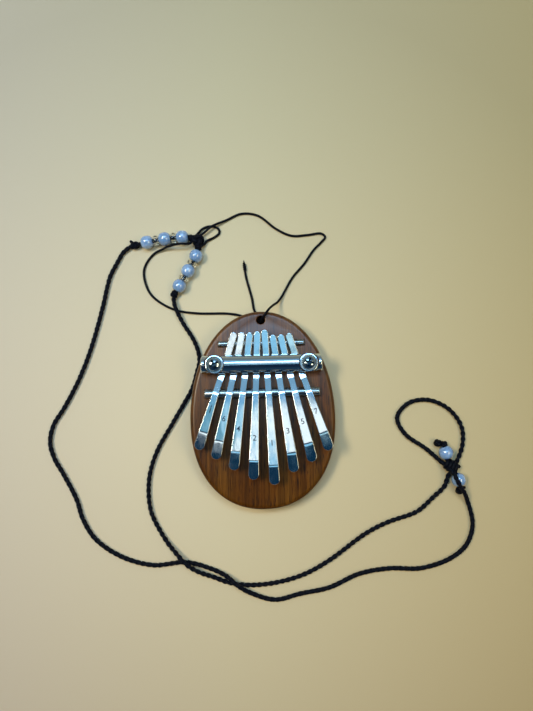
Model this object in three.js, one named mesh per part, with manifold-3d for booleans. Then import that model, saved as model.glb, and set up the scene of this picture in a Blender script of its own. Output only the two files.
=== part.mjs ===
// Eight-key pocket thumb piano (mini kalimba) with a beaded neck lanyard, lying on a table.
// Millimetres. +X right, +Y towards the lanyard hole, +Z up.
// The origin is the centre of the board's underside.
import * as THREE from 'three';
import { mergeVertices } from 'three/addons/utils/BufferGeometryUtils.js';
import Module from 'manifold-3d';

const wasm = await Module();
wasm.setup();

// Driving dimensions ---------------------------------------------------------------------------

const GAP = 0.3;                 // clearance kept between touching pieces

const BOARD_THICK = 9;
const BOARD_HALF_WIDTH = 31.3;
const BOARD_HALF_LENGTH = 42.5;
const BOARD_WIDEST_Y = -4;       // the egg is widest a little below its middle
const BOARD_UPPER_POWER = 2.05;  // superellipse powers of the two halves of the egg
const BOARD_LOWER_POWER = 2.2;
const BOARD_EDGE_TOP = 2;        // edge radius on the playing face
const BOARD_EDGE_BACK = 4;       // edge radius at the back
const BOARD_SIDES = 64;

const HOLE_Y = 38.5;             // lanyard hole
const HOLE_R = 1.85;
const RELIEF_DEPTH = 2.6;        // shallow recess at the back that takes the lanyard's knot
const RELIEF_R = 5.5;
const RELIEF_X = -2.5;

const FRONT_ROD_R = 2;           // bridge rod towards the player
const FRONT_ROD_Y = 6.8;
const FRONT_ROD_Z = 10.2;
const FRONT_ROD_LENGTH = 49.2;
const REAR_ROD_R = 1.25;         // bridge rod under the tails of the tines
const REAR_ROD_Y = 28.2;
const REAR_ROD_Z = 9.6;
const REAR_ROD_LENGTH = 37;

const BAR_Y = 19;                // pressure bar
const BAR_LENGTH = 51.2;
const BAR_HALF_WIDTH = 3.9;
const BAR_WAIST_Z = 12.6;        // height of its widest line
const BAR_RISE = 3.8;            // rounded top above the waist
const BAR_DROP = 1.4;            // flatter belly below the waist
const SCREW_X = 20;
const SEAT_Z = 14;               // flat seat cut at each end for the washer
const SEAT_R = 4.3;
const SCREW_HOLE_R = 1.7;

const WASHER_R = 4;
const WASHER_THICK = 0.8;
const SHANK_R = 1.3;
const SHANK_FOOT_Z = 3.4;
const HEAD_R = 2.9;
const HEAD_HEIGHT = 2.1;
const CROSS_LENGTH = 3.4;
const CROSS_WIDTH = 0.8;
const CROSS_DEPTH = 1.1;

const FOCUS_Y = 68;              // all tines point at (0, FOCUS_Y)
const TINE_PITCH = THREE.MathUtils.degToRad(5.1);
const TINE_THICK = 0.95;
const TINE_TAIL_WIDTH = 3;
const TINE_BRIDGE_WIDTH = 2.7;
const TINE_TIP_WIDTH = 4.4;
const TIP_BEND = 7.7;            // length of the bent-down playing tip
const BLADE_SLOPE = 0.08;        // rise of a blade from the bridge to its bend
const TIP_SLOPE = -0.06;
const BRIDGE_Z = 12.5;           // underside of the tines over the front rod
const TINES = [                  // distance of the tail and of the tip from the focus
  { tail: 37.1, tip: 88.7 },
  { tail: 36.2, tip: 90.7 },
  { tail: 35.8, tip: 93.9 },
  { tail: 35.1, tip: 97.2 },
  { tail: 34.5, tip: 99.4 },
  { tail: 37.0, tip: 95.2 },
  { tail: 37.5, tip: 92.6 },
  { tail: 38.0, tip: 90.1 },
];
// Underside of a clamped tine: [Y where it crosses, height].
const ROOT_PROFILE = [[28.2, 11.2], [22.9, 10.35], [20.5, 9.95], [17.5, 9.95], [12.5, 10.9]];
const TAIL_SLOPE = 0.16;         // rise of a tail behind the rear rod

const BRAID_R = 1;               // four-strand braided neck cord
const WAXED_R = 0.55;            // thin waxed hanger cord
const THREAD_R = 0.6;            // what runs through the beads
const CORD_SIDES = 8;
const BEAD_LENGTH = 5.3;
const BEAD_R = 3;
const BEAD_BORE_R = 1.1;
const SPACER_LENGTH = 2.1;
const SPACER_R = 2.25;

// Materials ------------------------------------------------------------------------------------

const paint = (color, roughness, metalness) =>
  new THREE.MeshStandardMaterial({ color, roughness, metalness });

const MAHOGANY = paint(0x6e4023, 0.45, 0);
const PLATED_STEEL = paint(0xc4ccd4, 0.2, 1);
const SCREW_STEEL = paint(0xb4bac0, 0.25, 1);
const BLACK_CORD = paint(0x11131c, 0.7, 0);
const MILKY_GLASS = paint(0x9db4dc, 0.2, 0);
const CLEAR_GLASS = paint(0xe6ece6, 0.05, 0);

// Helpers --------------------------------------------------------------------------------------

function toSolid(geometry) {
  const bare = geometry.clone();
  bare.deleteAttribute('normal');
  bare.deleteAttribute('uv');
  const merged = mergeVertices(bare);
  return new wasm.Manifold(new wasm.Mesh({
    numProp: 3,
    vertProperties: new Float32Array(merged.attributes.position.array),
    triVerts: new Uint32Array(merged.index.array),
  }));
}

function toGeometry(solid) {
  const mesh = solid.getMesh();
  const geometry = new THREE.BufferGeometry();
  geometry.setAttribute('position', new THREE.BufferAttribute(mesh.vertProperties, 3));
  geometry.setIndex(new THREE.BufferAttribute(mesh.triVerts, 1));
  return geometry;
}

function cut(geometry, ...tools) {
  let solid = toSolid(geometry);
  for (const tool of tools) {
    solid = solid.subtract(toSolid(tool));
  }
  return toGeometry(solid);
}

function node(name, geometry, material) {
  const mesh = new THREE.Mesh(geometry, material);
  mesh.name = name;
  return mesh;
}

// A solid of revolution about Z from [radius, height] points.
function turned(points, segments) {
  const profile = points.map(([radius, height]) => new THREE.Vector2(radius, height));
  const geometry = new THREE.LatheGeometry(profile, segments);
  geometry.rotateX(Math.PI / 2);
  return geometry;
}

function upright(radius, low, high, x, y, segments = 20) {
  const geometry = new THREE.CylinderGeometry(radius, radius, high - low, segments);
  geometry.rotateX(Math.PI / 2);
  geometry.translate(x, y, (low + high) / 2);
  return geometry;
}

function block(width, length, height, x, y, z) {
  const geometry = new THREE.BoxGeometry(width, length, height);
  geometry.translate(x, y, z);
  return geometry;
}

const vector = ([x, y, z]) => new THREE.Vector3(x, y, z);

// Level direction from one place to another.
const flat = (from, to) => [to[0] - from[0], to[1] - from[1], 0];

// Board ----------------------------------------------------------------------------------------

// Point of the egg outline at an angle, moved in along its normal.
function eggPoint(angle, inset) {
  const upper = Math.sin(angle) >= 0;
  const power = upper ? BOARD_UPPER_POWER : BOARD_LOWER_POWER;
  const reach = upper ? BOARD_HALF_LENGTH - BOARD_WIDEST_Y : BOARD_HALF_LENGTH + BOARD_WIDEST_Y;
  const bend = (value) => Math.sign(value) * Math.abs(value) ** (2 / power);
  const u = bend(Math.cos(angle));
  const v = bend(Math.sin(angle));
  const normal = new THREE.Vector2(
    Math.sign(u) * Math.abs(u) ** (power - 1) / BOARD_HALF_WIDTH,
    Math.sign(v) * Math.abs(v) ** (power - 1) / reach,
  ).normalize();
  return new THREE.Vector2(u * BOARD_HALF_WIDTH, BOARD_WIDEST_Y + v * reach)
    .addScaledVector(normal, -inset);
}

// Quarter-round edge as [inset, height] points, from a flat face to the upright wall.
function edgeRound(radius, faceZ, direction, steps) {
  const points = [];
  for (let i = 0; i <= steps; i += 1) {
    const turn = (i / steps) * Math.PI / 2;
    const inset = radius * (1 - Math.sin(turn));
    points.push([inset, faceZ + direction * radius * (1 - Math.cos(turn))]);
  }
  return points;
}

function bodyBoard() {
  const edge = [
    ...edgeRound(BOARD_EDGE_BACK, 0, 1, 4),
    ...edgeRound(BOARD_EDGE_TOP, BOARD_THICK, -1, 3).reverse(),
  ];
  const rim = 100;               // lathe radius that stands for the outline before it is bent to the egg
  const profile = [[0, 0], ...edge.map(([inset, z]) => [rim - inset, z]), [0, BOARD_THICK]];
  const geometry = turned(profile, BOARD_SIDES);
  const place = geometry.attributes.position;
  for (let i = 0; i < place.count; i += 1) {
    const radius = Math.hypot(place.getX(i), place.getY(i));
    if (radius > 1) {
      const angle = Math.atan2(place.getY(i), place.getX(i));
      const point = eggPoint(angle, rim - radius);
      place.setXY(i, point.x, point.y);
    }
  }
  const groove = (radius, length, y, z) => {
    const tool = new THREE.CylinderGeometry(radius + GAP, radius + GAP, length + 2 * GAP, 24);
    tool.rotateZ(Math.PI / 2);
    tool.translate(0, y, z);
    return tool;
  };
  const reliefReach = BOARD_HALF_LENGTH + 2 - HOLE_Y;
  return node('body_board', cut(
    geometry,
    groove(FRONT_ROD_R, FRONT_ROD_LENGTH, FRONT_ROD_Y, FRONT_ROD_Z),
    groove(REAR_ROD_R, REAR_ROD_LENGTH, REAR_ROD_Y, REAR_ROD_Z),
    upright(HOLE_R, -1, BOARD_THICK + 1, 0, HOLE_Y),
    upright(RELIEF_R, -1, RELIEF_DEPTH, RELIEF_X, HOLE_Y - 1, 24),
    block(2 * RELIEF_R, reliefReach + 1, RELIEF_DEPTH + 1, RELIEF_X,
      HOLE_Y - 1 + (reliefReach + 1) / 2, (RELIEF_DEPTH - 1) / 2),
    upright(SHANK_R + GAP, SHANK_FOOT_Z - GAP, BOARD_THICK + 1, -SCREW_X, BAR_Y, 12),
    upright(SHANK_R + GAP, SHANK_FOOT_Z - GAP, BOARD_THICK + 1, SCREW_X, BAR_Y, 12),
  ), MAHOGANY);
}

// Hardware -------------------------------------------------------------------------------------

function bridgeRod(name, radius, length, y, z) {
  const chamfer = radius / 4;
  const geometry = turned([
    [0, -length / 2],
    [radius - chamfer, -length / 2],
    [radius, -length / 2 + chamfer],
    [radius, length / 2 - chamfer],
    [radius - chamfer, length / 2],
    [0, length / 2],
  ], 16);
  const rod = node(name, geometry, PLATED_STEEL);
  rod.rotation.y = Math.PI / 2;
  rod.position.set(0, y, z);
  return rod;
}

function pressureBar() {
  const section = new THREE.Shape();
  section.absellipse(0, 0, BAR_HALF_WIDTH, BAR_RISE, 0, Math.PI);
  section.absellipse(0, 0, BAR_HALF_WIDTH, BAR_DROP, Math.PI, 2 * Math.PI);
  const geometry = new THREE.ExtrudeGeometry(section, {
    depth: BAR_LENGTH, bevelEnabled: false, curveSegments: 10,
  });
  geometry.translate(0, 0, -BAR_LENGTH / 2);
  geometry.rotateX(Math.PI / 2);
  geometry.rotateZ(Math.PI / 2);
  geometry.translate(0, BAR_Y, BAR_WAIST_Z);
  const tools = [];
  for (const x of [-SCREW_X, SCREW_X]) {
    tools.push(upright(SEAT_R, SEAT_Z, SEAT_Z + 5, x, BAR_Y, 28));
    tools.push(upright(SCREW_HOLE_R, SEAT_Z - 6, SEAT_Z + 1, x, BAR_Y, 16));
  }
  return node('pressure_bar', cut(geometry, ...tools), PLATED_STEEL);
}

function washer(name, x) {
  const low = SEAT_Z + GAP;
  const geometry = turned([
    [SCREW_HOLE_R, low],
    [WASHER_R, low],
    [WASHER_R, low + WASHER_THICK],
    [SCREW_HOLE_R, low + WASHER_THICK],
    [SCREW_HOLE_R, low],
  ], 24);
  geometry.translate(x, BAR_Y, 0);
  return node(name, geometry, SCREW_STEEL);
}

function barScrew(name, x) {
  const seat = SEAT_Z + WASHER_THICK + 2 * GAP;
  const top = seat + HEAD_HEIGHT;
  const body = turned([
    [0, SHANK_FOOT_Z],
    [SHANK_R - 0.4, SHANK_FOOT_Z],
    [SHANK_R, SHANK_FOOT_Z + 0.8],
    [SHANK_R, seat],
    [HEAD_R, seat],
    [HEAD_R, seat + 0.9],
    [HEAD_R * 0.8, top - 0.4],
    [HEAD_R * 0.45, top - 0.08],
    [0, top],
  ], 20);
  const slot = (width, length) => block(width, length, 2 * CROSS_DEPTH, 0, 0, top);
  const geometry = cut(body, slot(CROSS_LENGTH, CROSS_WIDTH), slot(CROSS_WIDTH, CROSS_LENGTH));
  geometry.translate(x, BAR_Y, 0);
  return node(name, geometry, SCREW_STEEL);
}

// Tines ----------------------------------------------------------------------------------------
// A tine is drawn in its own frame: X is the distance from the focus, Y is across, Z is up.

function sideSlab(undersides) {
  const tops = undersides.map(([along, z]) => [along, z + TINE_THICK]).reverse();
  const shape = new THREE.Shape([...undersides, ...tops].map(([x, y]) => new THREE.Vector2(x, y)));
  const slabWidth = 2 * TINE_TIP_WIDTH;
  const geometry = new THREE.ExtrudeGeometry(shape, { depth: slabWidth, bevelEnabled: false });
  geometry.rotateX(Math.PI / 2);
  geometry.translate(0, slabWidth / 2, 0);
  return geometry;
}

// Plan outline from a square end to a round end.
function planSlab(squareAt, squareWidth, roundAt, roundWidth) {
  const way = Math.sign(roundAt - squareAt);
  const centre = roundAt - way * roundWidth / 2;
  const outline = new THREE.Shape();
  outline.moveTo(squareAt, -way * squareWidth / 2);
  outline.lineTo(centre, -way * roundWidth / 2);
  const start = way > 0 ? -Math.PI / 2 : Math.PI / 2;
  outline.absarc(centre, 0, roundWidth / 2, start, start + Math.PI, false);
  outline.lineTo(squareAt, way * squareWidth / 2);
  return new THREE.ExtrudeGeometry(outline, {
    depth: 2 * BOARD_THICK, bevelEnabled: false, curveSegments: 10,
  });
}

function tinePieces(number) {
  const { tail, tip } = TINES[number - 1];
  const angle = (number - 4.5) * TINE_PITCH;
  const along = (y) => (FOCUS_Y - y) / Math.cos(angle);
  const bridge = along(FRONT_ROD_Y);
  const rear = along(REAR_ROD_Y);
  const bend = tip - TIP_BEND;
  const bendZ = BRIDGE_Z + (bend - bridge) * BLADE_SLOPE;

  const rootSide = [
    [tail, ROOT_PROFILE[0][1] + (rear - tail) * TAIL_SLOPE],
    ...ROOT_PROFILE.map(([y, z]) => [along(y), z]),
    [bridge - GAP / 2, BRIDGE_Z],
  ];
  const bladeSide = [
    [bridge + GAP / 2, BRIDGE_Z],
    [bend, bendZ],
    [tip, bendZ + TIP_BEND * TIP_SLOPE],
  ];
  const rootPlan = planSlab(bridge, TINE_BRIDGE_WIDTH, tail, TINE_TAIL_WIDTH);
  const bladePlan = planSlab(bridge, TINE_BRIDGE_WIDTH, tip, TINE_TIP_WIDTH);
  const shape = (side, plan) => toGeometry(toSolid(sideSlab(side)).intersect(toSolid(plan)));

  const pieces = [
    node(`tine_${number}_root`, shape(rootSide, rootPlan), PLATED_STEEL),
    node(`tine_${number}_blade`, shape(bladeSide, bladePlan), PLATED_STEEL),
  ];
  for (const piece of pieces) {
    piece.position.set(0, FOCUS_Y, 0);
    piece.rotation.z = angle - Math.PI / 2;
  }
  return pieces;
}

// Lanyard --------------------------------------------------------------------------------------

function tube(name, radius, points) {
  const section = new THREE.Shape();
  for (let i = 0; i < CORD_SIDES; i += 1) {
    const turn = ((i + 0.5) / CORD_SIDES) * 2 * Math.PI;
    const corner = [radius * Math.cos(turn), radius * Math.sin(turn)];
    if (i === 0) {
      section.moveTo(...corner);
    } else {
      section.lineTo(...corner);
    }
  }
  const path = new THREE.CatmullRomCurve3(points.map(vector), false, 'centripetal');
  path.getPointAt = path.getPoint;       // one step per route point, so bends and humps keep theirs
  path.getTangentAt = path.getTangent;
  const geometry = new THREE.ExtrudeGeometry(section, {
    steps: points.length - 1, extrudePath: path, bevelEnabled: false,
  });
  return node(name, geometry, BLACK_CORD);
}

function knot(name, centre, half, turnDegrees = 0) {
  const geometry = new THREE.SphereGeometry(1, 12, 8);
  geometry.rotateX(Math.PI / 2);
  geometry.scale(...half);
  const lump = node(name, geometry, BLACK_CORD);
  lump.rotation.z = THREE.MathUtils.degToRad(turnDegrees);
  lump.position.set(...centre);
  return lump;
}

// A bead bored along its own axis, turned to lie along the cord.
function bead(name, centre, along, radius, length, material) {
  const collar = BEAD_BORE_R + 0.4;
  const edgeTurn = 0.4 * Math.PI;        // how far round the bead's side reaches from its middle
  const steps = 4;
  const points = [];
  for (let i = 0; i <= steps; i += 1) {
    const turn = (2 * i / steps - 1) * edgeTurn;
    const swell = (Math.cos(turn) - Math.cos(edgeTurn)) / (1 - Math.cos(edgeTurn));
    const height = (length / 2) * Math.sin(turn) / Math.sin(edgeTurn);
    points.push([collar + (radius - collar) * swell, height]);
  }
  points.push([BEAD_BORE_R, length / 2], [BEAD_BORE_R, -length / 2]);
  points.push(points[0]);
  const piece = node(name, turned(points, 14), material);
  piece.quaternion.setFromUnitVectors(new THREE.Vector3(0, 0, 1), vector(along).normalize());
  piece.position.set(...centre);
  return piece;
}

// Three milky beads with a clear spacer between each two, and the thread that they sit on.
function beadStrand(side, beadPlaces, threadEnds) {
  const [from, to] = threadEnds;
  const stops = [from, ...beadPlaces, to];
  const pieces = [tube(`bead_thread_${side}`, THREAD_R, stops)];
  for (let i = 1; i <= beadPlaces.length; i += 1) {
    const along = flat(stops[i - 1], stops[i + 1]);
    pieces.push(bead(`bead_${side}_${i}`, stops[i], along, BEAD_R, BEAD_LENGTH, MILKY_GLASS));
  }
  for (let i = 1; i < beadPlaces.length; i += 1) {
    const middle = vector(stops[i]).lerp(vector(stops[i + 1]), 0.5).toArray();
    const along = flat(stops[i], stops[i + 1]);
    pieces.push(bead(`spacer_${side}_${i}`, middle, along, SPACER_R, SPACER_LENGTH, CLEAR_GLASS));
  }
  return pieces;
}

// Free end of the thread that ties the sliding knot: a bead and the knot that stops it.
function sliderEnd(side, threadEnds, beadPlace, beadRadius, stopPlace, stopHalf, stopTurn) {
  const [from, to] = threadEnds;
  return [
    tube(`slider_thread_${side}`, THREAD_R, [from, beadPlace, to]),
    bead(`slider_bead_${side}`, beadPlace, flat(from, to), beadRadius, BEAD_LENGTH, MILKY_GLASS),
    knot(`slider_stop_${side}`, stopPlace, stopHalf, stopTurn),
  ];
}

// Routes over the table. The braid rests with its middle at Z 1.05, the waxed cord at 0.6.
// They climb only where they cross a cord, a bead or the board.

const NECK_LEFT_ROUTE = [
  [-59.1, 74.6, 1.5], [-62.3, 72.1, 1.1], [-65.2, 67.0, 1.05], [-68.0, 61.5, 1.05],
  [-71.8, 45.4, 1.05], [-76.8, 27.6, 1.05], [-82.1, 14.0, 1.05], [-88.3, 2.1, 1.05],
  [-92.8, -5.2, 1.05], [-94.2, -12.6, 1.05], [-92.4, -19.3, 1.05], [-87.9, -27.0, 1.05],
  [-82.2, -37.7, 1.05], [-79.3, -46.2, 1.05], [-73.8, -54.7, 1.05], [-62.6, -62.3, 1.05],
  [-48.9, -66.2, 1.05], [-34.6, -65.3, 1.05], [-24.5, -68.0, 1.05], [-17.4, -71.1, 1.9],
  [-11.8, -75.1, 3.6], [-6.9, -78.4, 1.9], [3.4, -81.7, 1.05], [14.2, -79.5, 1.05], [27.1, -77.1, 1.05],
  [39.8, -71.8, 1.05], [53.0, -69.8, 1.05], [66.7, -70.0, 1.05], [79.7, -66.1, 1.05],
  [86.9, -60.5, 1.05], [90.0, -52.8, 1.05], [89.5, -46.4, 1.1], [88.3, -42.4, 1.6],
  [86.4, -38.8, 4.4], [84.4, -35.9, 6.2], [82.8, -33.3, 7.2], [82.0, -31.4, 7.0],
  [81.6, -29.6, 5.7],
];
const NECK_LOOP_ROUTE = [
  [77.4, -24.7, 1.3], [71.5, -19.2, 1.05], [62.5, -12.5, 1.05], [59.4, -5.2, 1.05],
  [64.6, 0.9, 1.05], [73.5, 2.2, 1.05], [82.5, -2.1, 1.05], [87.6, -9.8, 1.05],
  [87.7, -17.5, 1.05], [84.9, -24.4, 1.3],
];
const NECK_RIGHT_ROUTE = [
  [80.8, -30.4, 1.4], [78.6, -35.6, 1.05], [73.6, -40.1, 1.05], [66.1, -46.1, 1.05],
  [52.5, -50.6, 1.05], [43.0, -55.2, 1.05], [27.8, -65.5, 1.05], [16.6, -71.3, 1.05],
  [3.6, -74.7, 1.05], [-7.9, -75.4, 1.05], [-16.2, -74.2, 1.05], [-22.2, -71.9, 1.3],
  [-29.2, -68.9, 2.8], [-34.3, -65.4, 3.6], [-39.2, -60.5, 2.4], [-43.6, -55.2, 1.2],
  [-49.6, -43.6, 1.05], [-50.6, -30.6, 1.05],
  [-47.4, -18.6, 1.05], [-40.0, -5.5, 1.05], [-34.4, 3.9, 1.05], [-31.1, 10.0, 1.05],
  [-29.3, 16.0, 1.05], [-27.9, 22.5, 1.05], [-29.7, 30.0, 1.05], [-35.3, 39.6, 1.6],
  [-38.3, 46.2, 2.6], [-39.1, 49.7, 1.8],
];
const HANGER_LONG_ROUTE = [
  [0, 38.5, 2.6], [0.3, 38.8, 7.6], [0.9, 39.4, 9.7], [2.1, 40.9, 10.4], [3.7, 43.1, 9.6],
  [5.6, 45.4, 6.3], [7.6, 47.3, 3.1], [9.6, 50.1, 1.2], [11.4, 53.3, 0.65], [14.8, 59.0, 0.6],
  [20.4, 65.4, 0.6], [24.8, 71.6, 0.6], [28.4, 75.2, 0.6], [30.3, 77.6, 0.6],
  [28.6, 79.3, 0.6], [22.5, 78.8, 0.6], [14.9, 78.6, 0.6],
  [8.0, 81.9, 0.6], [-0.5, 88.5, 0.6], [-7.9, 89.5, 0.6], [-14.9, 86.5, 0.9],
  [-21.6, 83.2, 2.3], [-25.2, 80.3, 2.0],
];
const BOW_ROUTE = [
  [-27.6, 80.7, 1.3], [-26.4, 82.3, 0.8], [-23.8, 83.7, 0.6], [-21.0, 83.8, 0.6],
  [-18.6, 82.6, 0.6], [-18.2, 80.6, 0.6], [-20.6, 78.6, 0.6], [-23.9, 76.9, 1.0],
];
const HANGER_LEFT_ROUTE = [
  [-31.7, 75.1, 3.5], [-35.1, 74.6, 5.2], [-39.4, 74.4, 3.8], [-43.9, 73.4, 1.7],
  [-48.5, 71.2, 0.65], [-52.6, 64.8, 0.6], [-52.2, 58.3, 0.6], [-48.9, 51.8, 0.6],
  [-39.4, 45.6, 0.6], [-29.1, 43.6, 0.6], [-14.8, 43.1, 0.6], [-9.6, 42.2, 0.6],
  [-5.4, 40.6, 0.9], [-2.8, 39.5, 1.1],
];
const HANGER_TAIL_ROUTE = [
  [0.9, 41.7, 1.0], [-1.3, 42.2, 0.8], [-2.8, 44.1, 0.65], [-3.8, 49.7, 0.6], [-6.3, 59.8, 0.6],
  [-6.9, 65.0, 0.6], [-7.3, 67.5, 0.6],
];

function lanyard() {
  return [
    knot('hanger_back_knot', [0, 38.5, 1.15], [2.4, 2.2, 1.1]),
    tube('hanger_cord_long', WAXED_R, HANGER_LONG_ROUTE),
    tube('hanger_cord_left', WAXED_R, HANGER_LEFT_ROUTE),
    tube('hanger_cord_tail', WAXED_R, HANGER_TAIL_ROUTE),
    tube('hanger_bow_loop', WAXED_R, BOW_ROUTE),
    knot('junction_knot', [-28.0, 76.2, 1.95], [3.2, 3.5, 1.9]),
    ...beadStrand('left', [[-34.9, 78.3, 3], [-42.9, 77.7, 3], [-50.9, 76.3, 3]],
      [[-31.9, 78.4, 2.9], [-53.9, 75.6, 2.8]]),
    ...beadStrand('right', [[-28.7, 69.4, 3], [-32.4, 62.6, 3], [-36.4, 55.8, 3]],
      [[-27.7, 72.1, 2.9], [-37.9, 53.4, 2.8]]),
    knot('neck_knot_left', [-56.6, 75.4, 1.75], [2.2, 1.8, 1.7], 15),
    knot('neck_knot_right', [-39.1, 51.5, 1.75], [1.7, 1.6, 1.7]),
    tube('neck_cord_left', BRAID_R, NECK_LEFT_ROUTE),
    tube('neck_cord_loop', BRAID_R, NECK_LOOP_ROUTE),
    tube('neck_cord_right', BRAID_R, NECK_RIGHT_ROUTE),
    knot('slider_knot', [81.5, -26.9, 2.4], [3.8, 2.3, 2.35], -22),
    ...sliderEnd('upper', [[80.5, -23.9, 2.9], [78.6, -18.1, 2.9]], [79.5, -20.9, 3.1], 3.1,
      [77.9, -16.3, 1.85], [2.9, 1.4, 1.8], -8),
    ...sliderEnd('lower', [[83.9, -29.8, 2.9], [84.8, -35.5, 2.8]], [84.35, -32.7, 3.0], 3.0,
      [84.8, -37.4, 1.85], [1.7, 1.5, 1.8], 0),
  ];
}

// Assembly -------------------------------------------------------------------------------------

const thumbPiano = new THREE.Group();
thumbPiano.add(bodyBoard());
thumbPiano.add(bridgeRod('front_bridge_rod', FRONT_ROD_R, FRONT_ROD_LENGTH, FRONT_ROD_Y, FRONT_ROD_Z));
thumbPiano.add(bridgeRod('rear_bridge_rod', REAR_ROD_R, REAR_ROD_LENGTH, REAR_ROD_Y, REAR_ROD_Z));
thumbPiano.add(pressureBar());
for (const [side, x] of [['left', -SCREW_X], ['right', SCREW_X]]) {
  thumbPiano.add(washer(`washer_${side}`, x));
  thumbPiano.add(barScrew(`bar_screw_${side}`, x));
}
for (let number = 1; number <= TINES.length; number += 1) {
  thumbPiano.add(...tinePieces(number));
}
thumbPiano.add(...lanyard());

export default thumbPiano;
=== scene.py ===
"""Looks of the eight-key pocket thumb piano and its beaded lanyard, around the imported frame.

Shapes are worked out in millimetres, in the frame's axes, and written to Blender in metres.
"""

import math

import bmesh
import bpy
import numpy as np
from mathutils import Matrix, Vector


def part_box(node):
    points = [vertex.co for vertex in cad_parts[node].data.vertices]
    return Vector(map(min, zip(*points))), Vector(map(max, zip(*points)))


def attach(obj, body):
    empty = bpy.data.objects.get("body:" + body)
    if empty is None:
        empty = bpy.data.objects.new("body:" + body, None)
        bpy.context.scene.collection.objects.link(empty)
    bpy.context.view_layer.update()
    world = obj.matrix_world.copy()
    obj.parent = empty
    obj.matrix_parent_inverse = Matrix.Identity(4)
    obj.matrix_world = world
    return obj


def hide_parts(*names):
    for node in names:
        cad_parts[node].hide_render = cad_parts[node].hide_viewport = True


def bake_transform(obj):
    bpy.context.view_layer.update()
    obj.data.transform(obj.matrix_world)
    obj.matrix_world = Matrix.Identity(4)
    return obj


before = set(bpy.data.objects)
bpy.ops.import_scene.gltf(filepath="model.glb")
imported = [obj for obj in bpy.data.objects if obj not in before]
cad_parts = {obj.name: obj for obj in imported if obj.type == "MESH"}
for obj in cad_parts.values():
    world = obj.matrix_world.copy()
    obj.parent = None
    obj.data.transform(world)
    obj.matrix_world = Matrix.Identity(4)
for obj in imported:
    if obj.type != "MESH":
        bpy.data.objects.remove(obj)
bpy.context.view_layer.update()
MM = 0.001

# Driving sizes, as in the CAD part ----------------------------------------------------------

BOARD_WIDEST_Y = -4
BOARD_UPPER_POWER = 2.05
BOARD_LOWER_POWER = 2.2
BOARD_EDGE_TOP = 2
BOARD_EDGE_BACK = 4
GAP = 0.3
HOLE_Y = 38.5
HOLE_R = 1.85
RELIEF_DEPTH = 2.6
RELIEF_R = 5.5
RELIEF_X = -2.5
SCREW_X = 20
SEAT_Z = 14
SEAT_R = 4.3
SCREW_HOLE_R = 1.7
SHANK_R = 1.3
SHANK_FOOT_Z = 3.4
HEAD_HEIGHT = 2.1
RECESS_LENGTH = 4.2
RECESS_WIDTH = 1.0
RECESS_DEPTH = 1.1
BAR_DROP = 1.4                         # from the bar's waist down to its belly
BAR_END_ROUND = 0.55
BAR_END_CENTRE = 0.6                   # above the waist: where the rounded ends draw in to
FOCUS_Y = 68
TINE_PITCH = math.radians(5.1)
TINE_THICK = 0.95
TINE_TAIL_WIDTH = 3
TINE_BRIDGE_WIDTH = 2.7
TINE_TIP_WIDTH = 4.4
TIP_BEND = 7.7
BLADE_SLOPE = 0.08
TIP_SLOPE = -0.06
TINE_EDGE_ROUND = 0.2
BRIDGE_Y = 6.8
BRIDGE_Z = 12.5
REAR_ROD_Y = 28.2
ROOT_PROFILE = [(28.2, 11.2), (22.9, 10.35), (20.5, 9.95), (17.5, 9.95), (12.5, 10.9)]
TAIL_SLOPE = 0.16
TINE_TAILS = [37.1, 36.2, 35.8, 35.1, 34.5, 37.0, 37.5, 38.0]
TINE_TIPS = [88.7, 90.7, 93.9, 97.2, 99.4, 95.2, 92.6, 90.1]
TINE_NOTES = ["1", "6", "4", "2", "1", "3", "5", "7"]
DOTTED_TINES = [1]
NOTE_FROM_TIP = 17
NOTE_SIZE = 3.3
NOTE_DEPTH = 0.09
NOTE_WEIGHT = 0.02
DOT_R = 0.3
DOT_ABOVE = 1.9

WAXED_R = 0.55
THREAD_R = 0.6
COIL_POINTS = 22                       # in each turn of a winding
BEAD_R = 3
BEAD_LENGTH = 5.3
BEAD_BORE_R = 1.1
BEAD_COLLAR = 0.4
SPACER_R = 2.25
SPACER_LENGTH = 2.1

# Cord routes, as in the CAD part ------------------------------------------------------------

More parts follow.
